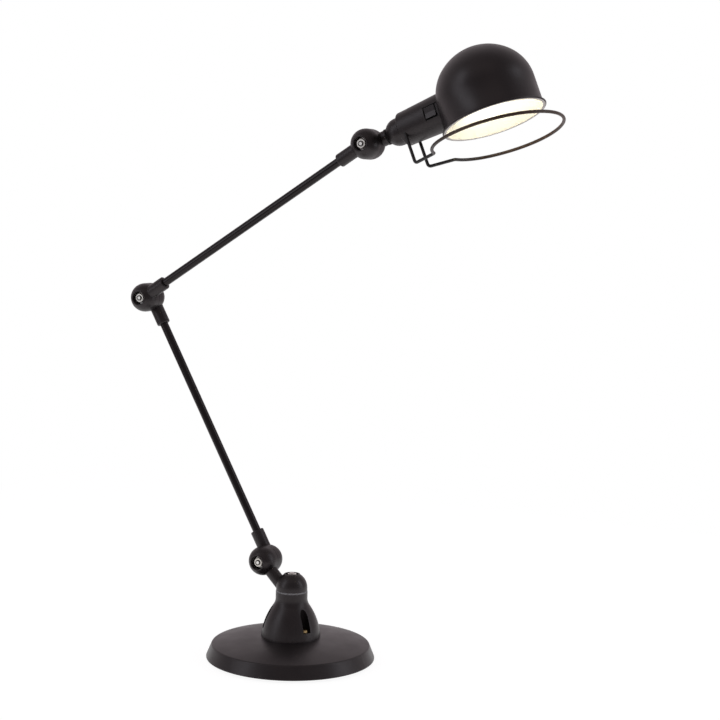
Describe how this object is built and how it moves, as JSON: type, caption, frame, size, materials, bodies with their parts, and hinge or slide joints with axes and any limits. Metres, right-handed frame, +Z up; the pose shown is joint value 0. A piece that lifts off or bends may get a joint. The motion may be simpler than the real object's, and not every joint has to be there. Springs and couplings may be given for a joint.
{
  "type": "adjustable desk lamp",
  "caption": "Desk lamp with a weighted round base, bell pedestal, tubular arms on round friction knuckles and a domed shade with a wire guard ring.",
  "frame": {"origin": "centre of the base pad's underside, on the swivel's axis", "axes": "+Z up; the arms lie in planes square to Y; +X is the side the head reaches out to; the nuts of the knuckles are on the -Y side and the cord gland is on +Y"},
  "size_m": [0.4406, 0.1636, 0.5835],
  "materials": {
    "black_paint": "satin black powder coat",
    "iron": "raw casting",
    "pad": "matt",
    "gland": "matt black",
    "brass": "polished",
    "bright_steel": "zinc plated",
    "friction_washer": "grey fibre",
    "holder_plastic": "moulded",
    "switch_plastic": "glossy black",
    "opal_glass": "opal white, lit"
  },
  "bodies": {
    "base": {"base_shell": "black_paint", "base_weight": "iron", "base_pad": "pad", "cord_gland": "gland", "pedestal": "black_paint", "pedestal_screws": "brass", "swivel_stud": "bright_steel", "swivel_washer": "friction_washer", "swivel_lock_washer": "bright_steel", "swivel_nut": "bright_steel"},
    "swivel": {"swivel_knuckle": "black_paint", "shoulder_bolt": "bright_steel", "shoulder_nut": "bright_steel", "shoulder_washers": "bright_steel", "shoulder_friction_ring": "gland"},
    "lower_arm": {"lower_arm_bottom_knuckle": "black_paint", "lower_arm_tube": "black_paint", "lower_arm_top_knuckle": "black_paint"},
    "upper_arm": {"upper_arm_bottom_knuckle": "black_paint", "upper_arm_tube": "black_paint", "upper_arm_top_knuckle": "black_paint", "elbow_bolt": "bright_steel", "elbow_nut": "bright_steel", "elbow_washers": "bright_steel", "elbow_friction_ring": "gland", "wrist_bolt": "bright_steel", "wrist_nut": "bright_steel", "wrist_washers": "bright_steel", "wrist_friction_ring": "gland"},
    "yoke": {"head_yoke": "black_paint", "yoke_washer": "gland", "spigot_washer": "bright_steel", "spigot_nut": "bright_steel"},
    "head": {"head_cap": "black_paint", "sleeve": "black_paint", "sleeve_set_screw": "bright_steel", "shade": "black_paint", "shade_ring": "holder_plastic", "lampholder": "holder_plastic", "screw_shell": "brass", "centre_contact": "brass", "bulb_cap": "bright_steel", "bulb_glass": "opal_glass", "guard_ring": "black_paint", "switch_housing": "holder_plastic"},
    "rocker": {"switch_rocker": "switch_plastic"}
  },
  "joints": [
    {"name": "base_swivel", "type": "hinge", "parent": "base", "child": "swivel", "pos_m": [0, 0, 0.0677], "axis": [0, 0, 1], "range_deg": [-160, 160]},
    {"name": "shoulder", "type": "hinge", "parent": "swivel", "child": "lower_arm", "pos_m": [-0.0338, 0.0073, 0.0914], "axis": [0, 1, 0], "range_deg": [-20, 40]},
    {"name": "elbow", "type": "hinge", "parent": "lower_arm", "child": "upper_arm", "pos_m": [-0.17507, 0.0073, 0.34008], "axis": [0, 1, 0], "range_deg": [-60, 30]},
    {"name": "wrist", "type": "hinge", "parent": "upper_arm", "child": "yoke", "pos_m": [0.06614, 0.0073, 0.49374], "axis": [0, 1, 0], "range_deg": [-50, 75]},
    {"name": "head_turn", "type": "hinge", "parent": "yoke", "child": "head", "pos_m": [0.06614, 0.0146, 0.49374], "axis": [0.9232, 0, 0.3843], "range_deg": [-85, 95]},
    {"name": "switch_rocker", "type": "hinge", "parent": "head", "child": "rocker", "pos_m": [0.13187, 0.00085, 0.52241], "axis": [0.9232, 0, 0.3843], "range_deg": [0, 14]}
  ]
}
